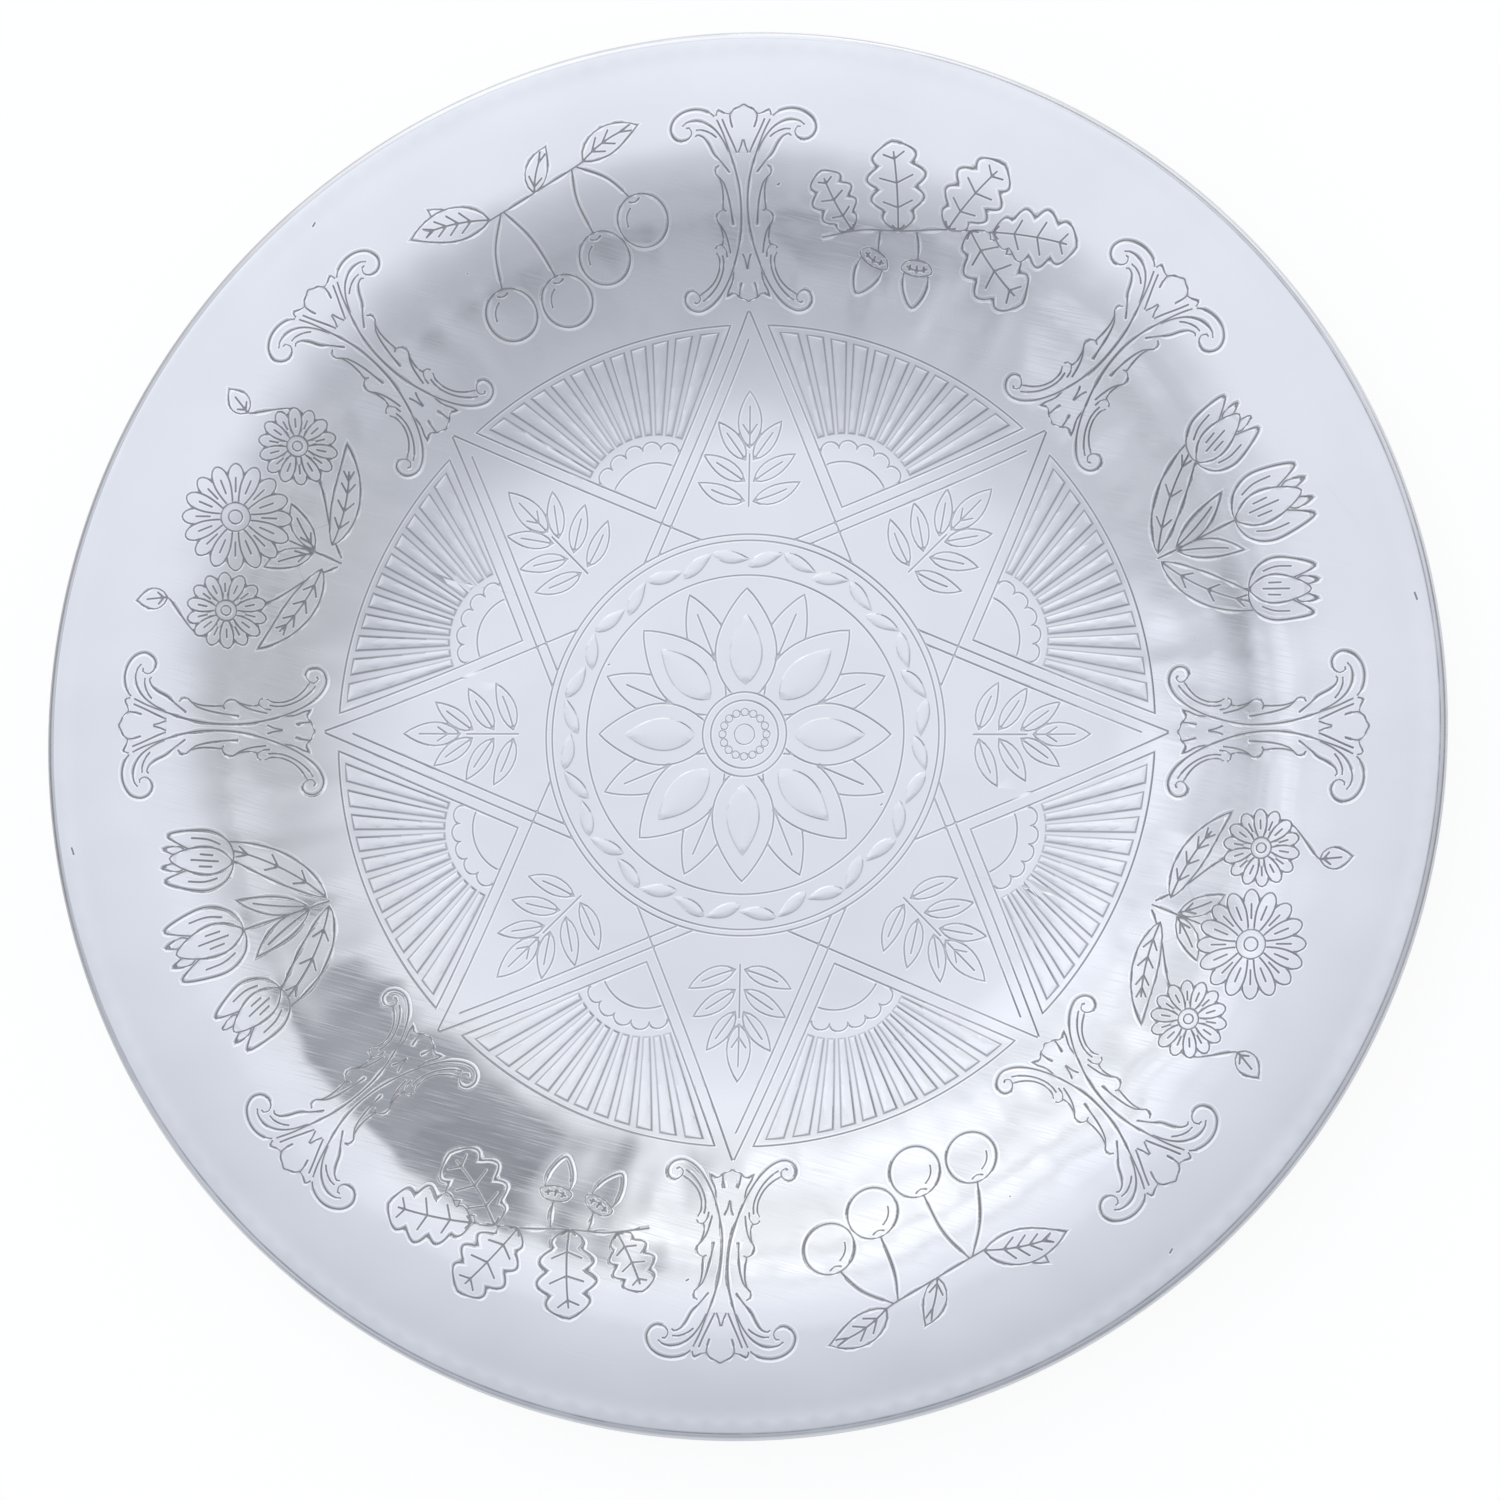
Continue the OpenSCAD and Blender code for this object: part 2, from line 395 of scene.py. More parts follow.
def acanthus():
    """Upright acanthus ornament: a stem between scrolls, with leaves up both sides"""
    half = [
        stroke((5.4, 35.5), (6.9, 36.7), (9.2, 37.2), (11.7, 36.7), (13.6, 35.2), (14.2, 33.2), (13.4, 31.6),
               (12.0, 31.0), (10.6, 31.5), (10.0, 32.6), (10.6, 33.6), (11.5, 33.4)),
        stroke((2.8, 28.8), (4.0, 31.2), (5.6, 33.3), (7.5, 34.6), (9.4, 35.0), (11.2, 34.6), (12.2, 33.6)),
        vein((4.9, 31.4), (6.5, 32.6), (8.4, 33.2), (9.6, 33.0)),
        stroke((5.4, 35.5), (4.0, 32.6), (2.9, 29.6), (1.9, 26.6), (1.2, 24.0), (0.75, 21.0), (0.65, 17.5),
               (0.95, 14.0), (1.8, 10.5), (3.1, 6.8), (4.9, 3.4), (7.0, 0.9), (9.4, -0.4), (11.4, 0.0),
               (12.4, 1.4), (12.1, 2.9), (10.9, 3.5), (9.7, 2.9), (9.4, 1.8), (10.2, 1.1), (10.9, 1.7)),
        stroke((-0.4, 37.9), (0, 38.1), (0.9, 37.6), (2.0, 37.1), (2.7, 36.2), (3.7, 36.4), (4.9, 37.0),
               (5.3, 36.5), (5.4, 35.5)),
        stroke((2.7, 36.2), (2.5, 34.8), (2.0, 33.2)),
        stroke((4.3, 35.6), (3.3, 33.2), (2.1, 30.6), (1.1, 28.3)),
        stroke((1.1, 28.3), (0.5, 29.8), (0, 31.6)),
        stroke((2.4, 24.6), (4.3, 27.0), (5.7, 28.5), (6.7, 30.4), (7.8, 31.8), (9.0, 32.2), (9.5, 31.5)),
        stroke((4.3, 26.4), (5.3, 25.9), (5.4, 24.6), (4.2, 23.6), (3.3, 21.5), (2.7, 18.5), (2.3, 14.9)),
        stroke((4.7, 24.1), (4.2, 22.4), (4.05, 20.4), (4.2, 18.2)),
        stroke((3.2, 17.6), (4.2, 18.2), (5.3, 17.5), (5.5, 16.2), (4.7, 15.2), (3.9, 13.7), (3.4, 11.7),
               (3.1, 9.9)),
        stroke((4.9, 15.4), (4.55, 14.0), (4.45, 12.9), (4.7, 11.8)),
        stroke((3.8, 9.2), (4.1, 11.0), (4.8, 11.9), (5.7, 11.7), (6.2, 10.8)),
        stroke((6.2, 10.8), (5.5, 9.8), (5.4, 7.8), (6.3, 5.5), (7.8, 3.8), (9.5, 2.7)),
        stroke((4.8, 10.4), (4.6, 8.2), (5.2, 6.0), (6.4, 3.9), (8.0, 2.2), (9.3, 1.4)),
        stroke((-0.3, 1.75), (0, 1.5), (0.9, 2.0), (1.8, 2.2), (2.3, 2.9), (3.1, 3.0), (4.2, 2.4), (3.7, 3.8),
               (3.0, 5.2), (2.75, 7.0)),
        stroke((1.8, 2.2), (1.6, 3.8), (1.15, 5.4)),
        stroke((1.0, 10.6), (0.35, 9.0), (0, 7.0)),
    ]
    return mirrored(half)


def star_sprig():
    """Sprig of seven leaves for a point of the star"""
    tip = leaf((0, 11.0), 0, 11.0, 4.6, 0, 1, well_w)
    upper = leaf((0.8, 8.6), 34, 9.2, 3.3, 4, 0, well_w)
    middle = leaf((0.9, 4.4), 54, 9.6, 3.4, 6, 0, well_w)
    lower = leaf((0.9, 0.5), 76, 9.8, 3.4, -16, 0, well_w)
    stem = [(curve([(0, -1), (0, 5), (0, 10.2)]), well_w, False)]
    return layered(tip, mirrored(upper), mirrored(middle), mirrored(lower), stem)


# Star of double lines whose points are joined to the third one after them, and which ends at the medallion
star_points = 8
star_skip = 3
star_r = 82.5
point_angle = 360.0 / star_points
star_half_angle = 180.0 * star_skip / star_points
star_band = 2.0
medallion_r = 39.0
chord = star_r * math.cos(math.radians(star_half_angle))


def star_band_lines(k, distance):
    """The two stretches outside the medallion of one line of the star, at a distance from the axis"""
    middle = distance * along(point_angle * (k + 0.5))
    way = above(point_angle * (k + 0.5))
    far = distance * math.tan(math.radians(star_half_angle))
    near = math.sqrt(medallion_r ** 2 - distance ** 2)
    stretches = [np.array([middle + side * reach * way for reach in (near, far)]) for side in (-1, 1)]
    return [(points, well_w, False) for points in stretches]


def star():
    lines = []
    for k in range(star_points):
        over = []
        for first, second in zip(star_band_lines(k + 2, chord), star_band_lines(k + 2, chord - star_band)):
            over.append((np.vstack([first[0], second[0][::-1]]), well_w, True))
        band = star_band_lines(k, chord) + star_band_lines(k, chord - star_band)
        lines += behind(band, over)
    return lines


# Raised shapes, whose feet, top edges and crests are lines too: how wide their sides are, how high these
# stand, and how much higher the crest is
side_w = 0.3
side_rise = 0.1
crown = 0.07


def raised_leaf(base, heading, length, width, bend=0.0):
    """Pointed leaf that stands out, as the lines of its foot, its top edge and its crest"""
    axis, right, left = leaf_blade(base, heading, length, width, bend, max(9, int(length / 0.9)))
    half = np.linalg.norm(right - axis, axis=1)
    top = half > 1.4 * side_w
    to_edge = (right - axis)[top] * (1 - side_w / half[top])[:, None]
    foot = np.vstack([right[:-1], left[:0:-1]])
    top_edge = np.vstack([axis[top] + to_edge, (axis[top] - to_edge)[::-1]])
    return [(foot, 0.0, True), (top_edge, 0.0, True), (axis[top][1:-1], 0.0, False)]


# Fan of ribs in each notch of the star: a border, a plain hub, a scalloped edge round it and raised ribs,
# whose feet hold tarnish
fan_gap = 2.2
fan_margin = 3.0
fan_half_angle = 45.0
fan_r = (chord + fan_gap) / math.sin(math.radians(fan_half_angle))
fan_end_r = star_r - fan_margin
hub_r = 9.0
scallops = 5
scallop_r = 11.6
scallop_rise = 1.5
scallop_steps = 10
fan_rays = 11
ray_start = 14.5
ray_gap = 1.2
ray_share = 0.66
ray_spread = 0.97
foot_w = 0.25


def fan_reach(radius, angle):
    """Distance from the point of a fan to a circle round the tray's axis"""
    a = math.radians(angle)
    return math.sqrt(radius ** 2 - (fan_r * math.sin(a)) ** 2) - fan_r * math.cos(a)


def spot(angle, reach):
    """Point at an angle and distance from the point of a fan that points along +y"""
    return reach * np.array([math.sin(math.radians(angle)), math.cos(math.radians(angle))])


def fan():
    """Border, hub and scallops of a fan that points along +y, with its point at the origin"""

    def swept(reach_of, start, stop, count):
        return np.array([spot(a, reach_of(a)) for a in np.linspace(start, stop, count)])

    side = ray_spread * fan_half_angle
    arch = swept(lambda a: fan_reach(fan_end_r, a), -fan_half_angle, fan_half_angle, 41)
    border = np.vstack([[[0, 0]], arch])
    turns = np.pi * np.arange(scallop_steps * scallops + 1) / scallop_steps
    across = side * (2 * (np.floor(turns / np.pi) + (1 - np.cos(turns % np.pi)) / 2) / scallops - 1)
    reaches = scallop_r + scallop_rise * np.abs(np.sin(turns))
    scalloped = np.array([spot(a, reach) for a, reach in zip(across, reaches)])
    return [
        (border, well_w, True),
        (swept(lambda a: hub_r, -side, side, 19), well_w, False),
        (scalloped, vein_w, False),
    ]


def rib(i):
    """One raised rib of the fan: the lines of its foot, top edge and crest, and the rim of its dark foot"""
    step = 2 * ray_spread * fan_half_angle / fan_rays
    middle = (i + 0.5) * step - ray_spread * fan_half_angle

    def bar(inset):
        corners = []
        for side, outer in ((-1, False), (-1, True), (1, True), (1, False)):
            angle = middle + side * ray_share * step / 2
            reach = fan_reach(fan_end_r - ray_gap, angle) - inset if outer else ray_start + inset
            corners.append(spot(angle - side * math.degrees(inset / reach), reach))
        return np.array(corners)

    top_edge = bar(side_w)
    start, stop = top_edge[[0, 3]].mean(0), top_edge[[1, 2]].mean(0)
    crest = start + np.outer((0.06, 0.94), stop - start)
    return [(bar(0.0), 0.0, True), (top_edge, 0.0, True), (crest, 0.0, False), (bar(-foot_w), 0.0, True)]


# Medallion: three rings, a wreath of leaves between two of them, and a rosette in the middle
border_w = 8.0
ring_gap = 1.2
medallion_rings = (medallion_r, medallion_r - ring_gap, medallion_r - border_w)
beads = 16
bead_angle = 360.0 / beads
petals = 8
petal_angle = 360.0 / petals
wreath_r = 34.4
wreath_leaves = 32


def medallion():
    rings = [ring((0, 0), radius, well_w) for radius in medallion_rings]
    button = [ring((0, 0), 8.2, well_w), ring((0, 0), 6.6, well_w), ring((0, 0), 2.0, fine_w, 0.6)]
    button += [ring(4.3 * along(bead_angle * i), 0.75, fine_w, 0.5) for i in range(beads)]
    petal = leaf((0, 6.0), 0, 22.5, 12.0, 0, 0, well_w)[:1]
    sepal = leaf((0, 11.0), 0, 18.4, 7.6, 0, 0, well_w)
    sepals = []
    for i in range(petals):
        sepals += moved(sepal, (0, 0), petal_angle * (i + 0.5))
    return rings + layered(button, *whorl(petal, petals), sepals)


def medallion_relief():
    """Raised leaves of the wreath and of the petals"""
    shapes = [moved(raised_leaf((0, 9.6), 0, 14.0, 6.6), (0, 0), petal_angle * i) for i in range(petals)]
    for i in range(wreath_leaves):
        way = 1 if i % 2 == 0 else -1
        spray = raised_leaf((0, -1.7 * way), 90 - 28 * way, 7.6, 2.7, 16 * way)
        shapes.append(placed(spray, wreath_r, 360 * i / wreath_leaves))
    return shapes


# The whole drawing: what repeats eight times round the tray, and four sprigs that each come twice
divider_r = 82.4
panel_r = 102.0
sprig_r = 45.0
drawing = star() + medallion()
relief = medallion_relief()
panels = (tulips(), oak_sprig(), cherries(), daisies())
for i in range(star_points):
    at_tip = 90 - point_angle * i
    at_notch = 90 - point_angle * (i + 0.5)
    drawing += placed(acanthus(), divider_r, at_tip)
    drawing += placed(star_sprig(), sprig_r, at_tip)
    drawing += placed(fan(), fan_r, at_notch)
    relief += [placed(rib(k), fan_r, at_notch) for k in range(fan_rays)]
    drawing += placed(panels[i % len(panels)], panel_r, at_notch)

# Wear on the plate: a few nicks and hairline scratches, as (start, end, width)
nicks = (
    ((6.2, 104.6), (7.4, 105.4), 0.9), ((128.6, 25.6), (129.4, 23.4), 0.8),
    ((-84.0, 99.0), (-84.9, 97.4), 0.8), ((-27.4, 13.2), (-26.4, 13.9), 0.9),
    ((97.5, 58.0), (98.3, 58.5), 0.8), ((-54.5, 88.2), (-53.6, 88.6), 0.8),
)
scratches = (
    ((64.0, -103.0), (40.0, -112.5), 0.13), ((70.5, -98.5), (58.0, -106.0), 0.12),
    ((46.0, -117.0), (33.0, -121.0), 0.12), ((-98.0, -42.0), (-88.0, -40.5), 0.12),
    ((20.0, 121.0), (31.0, 118.5), 0.11), ((112.0, 46.0), (119.0, 37.0), 0.11),
    ((-60.0, 30.5), (-44.0, 27.0), 0.10), ((27.0, -55.0), (36.0, -47.0), 0.10),
    ((118.0, -10.0), (121.0, 3.0), 0.10),
)
for start, end, width in nicks + scratches:
    drawing.append((np.array([start, end]), width, False))

# Grooved half of the sheet: the lines are laid into a flat triangulation of the half disc, which is then
# raised to the pressed section and sunk along the lines. The seam passes between the sprigs and the scrolls,
# and tarnish stays in every groove but the hairlines.
sectors = 2
sector_angle = 360.0 / sectors
weld = 0.004
seam_angle = -11.25
edge_steps = 160
groove_slope = 0.3
narrowest = 0.25
hairline = 0.1
clear_space = 0.35
ring_step = 1.6
taper = 0.45
taper_share = 0.8
longest = 5.0
room = 0.45
sharpest = 0.2
least_mitre = 0.6
least_half = 0.05
least_share = 0.04
touching = 0.001


def seam_offset(points):
    """Distance of points in the half disc from its seam, below zero outside it"""
    return points @ above(seam_angle)


def divided(points, closed):
    """The points of a line with more between them, so that its groove follows the bends and tapers shortly"""
    if not closed:
        first, last = points[1] - points[0], points[-2] - points[-1]
        starts = points[0] + min(taper_share, taper / np.linalg.norm(first)) * first
        stops = points[-1] + min(taper_share, taper / np.linalg.norm(last)) * last
        points = np.vstack([points[:1], [starts], points[1:-1], [stops], points[-1:]])
    path = looped(points, closed)
    stretches = []
    for a, b in zip(path, path[1:]):
        count = math.ceil(np.linalg.norm(b - a) / longest)
        stretches.append(a + (b - a) * (np.arange(count) / count)[:, None])
    return np.vstack(stretches + ([] if closed else [path[-1:]]))


def groove_sides(points, half, closed):
    """Lines of the two edges of a groove with these half widths"""
    ahead = np.roll(points, -1, 0) - points
    if not closed:
        ahead[-1] = ahead[-2]
    ahead /= np.linalg.norm(ahead, axis=1)[:, None]
    before = np.roll(ahead, 1, 0)
    if not closed:
        before[0] = ahead[0]
    normal = np.stack([-ahead[:, 1], ahead[:, 0]], -1)
    mitre = normal + np.stack([-before[:, 1], before[:, 0]], -1)
    mitre /= np.maximum(np.linalg.norm(mitre, axis=1), sharpest)[:, None]
    mitre /= np.maximum((mitre * normal).sum(1), least_mitre)[:, None]
    return points + mitre * half[:, None], points - mitre * half[:, None]


def tree_of(points):
    """Search tree of points in the plane, which knows them by their places in the list"""
    tree = KDTree(len(points))
    for index, point in enumerate(points):
        tree.insert((*point, 0), index)
    tree.balance()
    return tree


def half_widths(lines):
    """Half widths along each line: wide ones narrow beside another line, and open ends run out to a point"""
    owner = np.repeat(np.arange(len(lines)), [len(points) for points, _, _ in lines])
    all_points = tree_of(np.vstack([points for points, _, _ in lines]))
    all_halves = []
    for index, (points, width, closed) in enumerate(lines):
        half = np.full(len(points), width / 2)
        if width == outline_w:
            for i, point in enumerate(points):
                near = all_points.find_range((*point, 0), width)
                others = [room * off for _, place, off in near if owner[place] != index]
                half[i] = max(narrowest, min([width / 2] + others))
        if not closed:
            half[[0, -1]] = 0.0
        all_halves.append(half)
    return all_halves


def grooves_in_half():
    """The grooves that reach into the half disc: points, half widths, both edges and whether closed"""
    margin = 2.0
    grooves = []
    lines = [(divided(points, closed), width, closed) for points, width, closed in drawing if width > 0]
    for (points, width, closed), half in zip(lines, half_widths(lines)):
        left, right = groove_sides(points, half, closed)
        near = seam_offset(points) > -margin
        if near.all():
            grooves.append((points, half, left, right, closed))
        elif near.any():
            order = np.arange(len(points))
            if closed:
                order = np.roll(order, -int(np.argmin(near)))
            for run in np.split(order, np.flatnonzero(np.diff(near[order])) + 1):
                if near[run[0]] and len(run) > 1:
                    grooves.append((points[run], half[run], left[run], right[run], False))
    return grooves


grooves = grooves_in_half()
flat_points = []
flat_heights = []
flat_edges = []
far_off = 1.0


def lay(points, closed=False, rise=0.0, off=far_off):
    """Adds a line that the triangulation has to follow, its height and how far it is from a dark line"""
    first = len(flat_points)
    flat_points.extend(map(tuple, points))
    count = len(points)
    flat_heights.extend([(rise, off)] * count)
    flat_edges.extend((first + i, first + i + 1) for i in range(count - 1))
    if closed:
        flat_edges.append((first + count - 1, first))


for points, half, left, right, closed in grooves:
    for line in (points, left, right):
        lay(line, closed)
feet = []
risen = []
for foot, top_edge, crest, *dark_foot in relief:
    if seam_offset(foot[0]).max() > 0:
        feet.append((dark_foot or [foot])[0][0])
        lines = [(foot, 0.0, 0.0), (top_edge, side_rise, side_w), (crest, side_rise + crown, far_off)]
        lines += [(line, 0.0, foot_w) for line in dark_foot]
        for (points, _, closed), rise, off in lines:
            path = divided(points, closed)
            height = (rise, off if dark_foot else far_off)
            lay(path, closed, *height)
            risen.append((looped(path, closed), height))
line_tree = tree_of(flat_points)


def clear_of_lines(points):
    """Those of the points that lie outside the raised shapes and away from every line"""
    kept = ~np.any([inside(points, foot) for foot in feet], axis=0)
    return [p for p in points[kept] if line_tree.find((*p, 0))[2] > line_step / 2 + clear_space]


# Points between the lines, close together on the bends, and the border of the half disc, with a narrow strip
# along the edge where the joint is darkened
joint_r = sheet_r - joint_w
ring_radii = [flat_r]
for start, stop in zip(upper_face[1:-2, 0], upper_face[2:-1, 0]):
    count = max(1, round((stop - start) / ring_step))
    if stop - ring_radii[-1] > ring_step / 2:
        ring_radii.extend(np.linspace(ring_radii[-1], stop, count + 1)[1:])
ring_radii = [radius for radius in ring_radii if radius < joint_r - ring_step / 2] + [joint_r, sheet_r]
edge_angles = seam_angle + sector_angle * np.arange(edge_steps + 1) / edge_steps
for angle in (edge_angles[0], edge_angles[-1]):
    seam = np.array([radius * along(angle) for radius in ring_radii])
    lay([np.zeros(2), *clear_of_lines(seam[:-2]), *seam[-2:]])
for radius in ring_radii[-2:]:
    lay([radius * along(angle) for angle in edge_angles])
between = np.array([radius * along(angle) for k, radius in enumerate(ring_radii[:-2])
                    for angle in edge_angles[k % 2:-1:2]])
for point in clear_of_lines(between[seam_offset(between) > ring_step / 2]):
    lay([point])

tolerance = 1e-5
flat = delaunay_2d_cdt([Vector(p) for p in flat_points], flat_edges, [], 0, tolerance)
flat_xy = np.array([v[:] for v in flat[0]])
flat_faces = np.array([f[:] for f in flat[2]])
centres = flat_xy[flat_faces].mean(1)
flat_faces = flat_faces[(seam_offset(centres) > 0) & (np.hypot(*centres.T) < sheet_r)]
used, flat_faces = np.unique(flat_faces, return_inverse=True)
flat_faces = flat_faces.reshape(-1, 3)
flat_xy = flat_xy[used]


def height_where_cut(point):
    """Height of a raised shape where the seam cuts one of its lines, and how far that is from a dark line"""
    for path, height in risen:
        span = path[1:] - path[:-1]
        t = np.clip(((point - path[:-1]) * span).sum(1) / (span ** 2).sum(1), 0, 1)
        if np.linalg.norm(path[:-1] + t[:, None] * span - point, axis=1).min() < touching:
            return height
    return 0.0, far_off


# How high each point stands and how far it is from the middle of a dark line, known from its own line or,
# where a line was cut at the seam, from the place
rise = np.zeros(len(flat_xy))
off_middle = np.full(len(flat_xy), far_off)
on_seam = np.abs(seam_offset(flat_xy)) < touching
for index, v in enumerate(used):
    if flat[3][v]:
        rise[index] = max(flat_heights[i][0] for i in flat[3][v])
        off_middle[index] = min(flat_heights[i][1] for i in flat[3][v])
    elif on_seam[index]:
        rise[index], off_middle[index] = height_where_cut(flat_xy[index])

# Depth of the grooves at each point, its distance from the middle of its groove, and how near it is to that
# as a share of the half width
depth = np.zeros(len(flat_xy))
share = np.zeros(len(flat_xy))
point_tree = tree_of(flat_xy)
for points, half, left, right, closed in grooves:
    count = len(points)
    ends = [] if closed else [Vector((*points[0], 0)), Vector((*points[-1], 0))]
    for i in range(count if closed else count - 1):
        j = (i + 1) % count
        ax, ay = points[i]
        span_x, span_y = points[j] - points[i]
        span = math.hypot(span_x, span_y)
        reach = max(half[i], half[j])
        middle = (ax + span_x / 2, ay + span_y / 2, 0)
        for co, index, _ in point_tree.find_range(middle, span / 2 + reach):
            if any((co - end).length < touching for end in ends):
                continue
            t = ((co.x - ax) * span_x + (co.y - ay) * span_y) / span ** 2
            t = min(1.0, max(0.0, t))
            width_here = half[i] + t * (half[j] - half[i])
            off = math.hypot(co.x - ax - t * span_x, co.y - ay - t * span_y)
            if reach > hairline and off < width_here + touching:
                off_middle[index] = min(off_middle[index], off)
            depth[index] = max(depth[index], groove_slope * (width_here - off))
            share[index] = max(share[index], 1 - off / max(width_here, least_half))
share[share < least_share] = 0.0
depth[share == 0] = 0.0


def raised(radius, angle, face, depth=0.0):
    """Points of a face of the sheet in metres, sunk square to it by a depth"""
    slope = np.radians(np.interp(radius, face[:, 0], face[:, 2]))
    height = np.interp(radius, face[:, 0], face[:, 1]) - depth * np.cos(slope)
    from_axis = radius + depth * np.sin(slope)
    return MM * np.stack([from_axis * np.cos(angle), from_axis * np.sin(angle), height], -1)


upper_points = raised(np.hypot(*flat_xy.T), np.arctan2(flat_xy[:, 1], flat_xy[:, 0]), upper_face,
                      depth - rise)
in_groove = (share[flat_faces] > 0).any(1)
raised_at = rise[flat_faces] > 0
at_joint = np.hypot(*flat_xy.T) > (joint_r + sheet_r) / 2

# Cut edge and plain underside of the same half, as rings from the edge to the centre
under_rows = [(sheet_r, upper_face)]
under_rows += [(radius, lower_face) for radius in lower_face[::-1, 0]]
under_points = np.vstack([raised(np.full(edge_steps + 1, radius), np.radians(edge_angles), face)
                          for radius, face in under_rows])
under_faces = []
for row in range(len(under_rows) - 1):
    for i in range(edge_steps):
        a = len(upper_points) + row * (edge_steps + 1) + i
        b = a + edge_steps + 1
        under_faces.append((a, b, b + 1, a + 1) if row < len(under_rows) - 2 else (a, b, a + 1))
half_mesh = bpy.data.meshes.new("tray_body_half")
half_mesh.from_pydata(np.vstack([upper_points, under_points]).tolist(), [], flat_faces.tolist() + under_faces)
for name, values, below in (("off_middle", off_middle, far_off), ("groove", share, 0.0),
                            ("joint", at_joint, 0.0), ("crest", rise > side_rise, 0.0)):
    attribute = half_mesh.attributes.new(name, "FLOAT", "POINT")
    attribute.data.foreach_set("value", np.concatenate([values, np.full(len(under_points), below)]))
# 0 plain upper face, 1 side of a groove, 2 cut edge, 3 underside, 4 side of a raised shape, 5 top of one
surface = np.full(len(half_mesh.polygons), 3)
surface[: len(flat_faces)] = np.where(raised_at.all(1), 5, np.where(raised_at.any(1), 4, in_groove))
surface[len(flat_faces): len(flat_faces) + edge_steps] = 2
half_mesh.attributes.new("surface", "INT", "FACE").data.foreach_set("value", surface)


def new_tree(name, *inputs):
    """Geometry node tree with a geometry going through it and named inputs"""
    tree = bpy.data.node_groups.new(name, "GeometryNodeTree")
    tree.interface.new_socket("Geometry", in_out="INPUT", socket_type="NodeSocketGeometry")
    for label, kind in inputs:
        tree.interface.new_socket(label, in_out="INPUT", socket_type="NodeSocket" + kind)
    tree.interface.new_socket("Geometry", in_out="OUTPUT", socket_type="NodeSocketGeometry")
    return tree, tree.nodes.new("NodeGroupInput").outputs, tree.nodes.new("NodeGroupOutput").inputs[0]


def add(tree, kind, inputs=None, **settings):
    """Adds a node, with its settings and with each input set to a value or linked to an output"""
    node = tree.nodes.new(kind)
    for name, value in settings.items():
        setattr(node, name, value)
    for key, value in (inputs or {}).items():
        if isinstance(value, bpy.types.NodeSocket):
            tree.links.new(value, node.inputs[key])
        else:
            node.inputs[key].default_value = value
    return node


def out(tree, kind, inputs=None, **settings):
    """First output of a new node"""
    return add(tree, kind, inputs, **settings).outputs[0]


def made_by(tree, obj, values):
    """Runs a geometry node tree with these input values and keeps the result as the object's plain mesh"""
    modifier = obj.modifiers.new(tree.name, "NODES")
    modifier.node_group = tree
    for item in tree.interface.items_tree:
        if item.in_out == "INPUT" and item.name in values:
            modifier[item.identifier] = values[item.name]
    evaluated = obj.evaluated_get(bpy.context.evaluated_depsgraph_get())
    mesh = bpy.data.meshes.new_from_object(evaluated)
    obj.modifiers.remove(modifier)
    obj.data = mesh
    mesh.name = obj.name


def plated(tree, geometry, metal):
    """Geometry in a metal, shaded smooth"""
    smooth = out(tree, "GeometryNodeSetShadeSmooth", {"Geometry": geometry})
    return out(tree, "GeometryNodeSetMaterial", {"Geometry": smooth, "Material": metal})


def calc(tree, operation, *values):
    return out(tree, "ShaderNodeMath", dict(enumerate(values)), operation=operation)


def times(tree, a, b):
    return calc(tree, "MULTIPLY", a, b)


def scaled(tree, vector, scale):
    return out(tree, "ShaderNodeVectorMath", {0: vector, "Scale": scale}, operation="SCALE")


def stretched(tree, vector, scales):
    return out(tree, "ShaderNodeVectorMath", {0: vector, 1: scales}, operation="MULTIPLY")


def towards(tree, vector, way):
    """How far a vector goes in the direction of another"""
    return add(tree, "ShaderNodeVectorMath", {0: vector, 1: way}, operation="DOT_PRODUCT").outputs["Value"]


def mapped(tree, value, from_min, from_max, to_min=0.0, to_max=1.0):
    return out(tree, "ShaderNodeMapRange", {"Value": value, "From Min": from_min, "From Max": from_max,
                                            "To Min": to_min, "To Max": to_max})


def noise(tree, place, scale, detail):
    return add(tree, "ShaderNodeTexNoise", {"Vector": place, "Scale": scale, "Detail": detail}).outputs["Fac"]


def bumped(tree, height, distance, **inputs):
    return out(tree, "ShaderNodeBump", {"Height": height, "Distance": distance, **inputs})


def ramp(tree, fac, *stops):
    """Colour ramp with stops of (position, red, green, blue)"""
    node = add(tree, "ShaderNodeValToRGB", {"Fac": fac})
    elements = node.color_ramp.elements
    for position, *colour in stops[2:]:
        elements.new(position)
    for element, (position, *colour) in zip(elements, stops):
        element.position = position
        element.color = (*colour, 1)
    return node.outputs["Color"]


def blended(tree, factor, a, b, kind="MIX"):
    """Second colour laid over the first by a factor"""
    inputs = {"Factor": factor, "A": a, "B": b}
    return add(tree, "ShaderNodeMix", inputs, data_type="RGBA", blend_type=kind).outputs[2]


def new_silver(name):
    """Metal material, with its node tree, the inputs of its shader and the place on the piece"""
    material = bpy.data.materials.new(name)
    material.use_nodes = True
    tree = material.node_tree
    inputs = tree.nodes["Principled BSDF"].inputs
    inputs["Metallic"].default_value = 1.0
    return material, tree, inputs, add(tree, "ShaderNodeTexCoord").outputs["Object"]


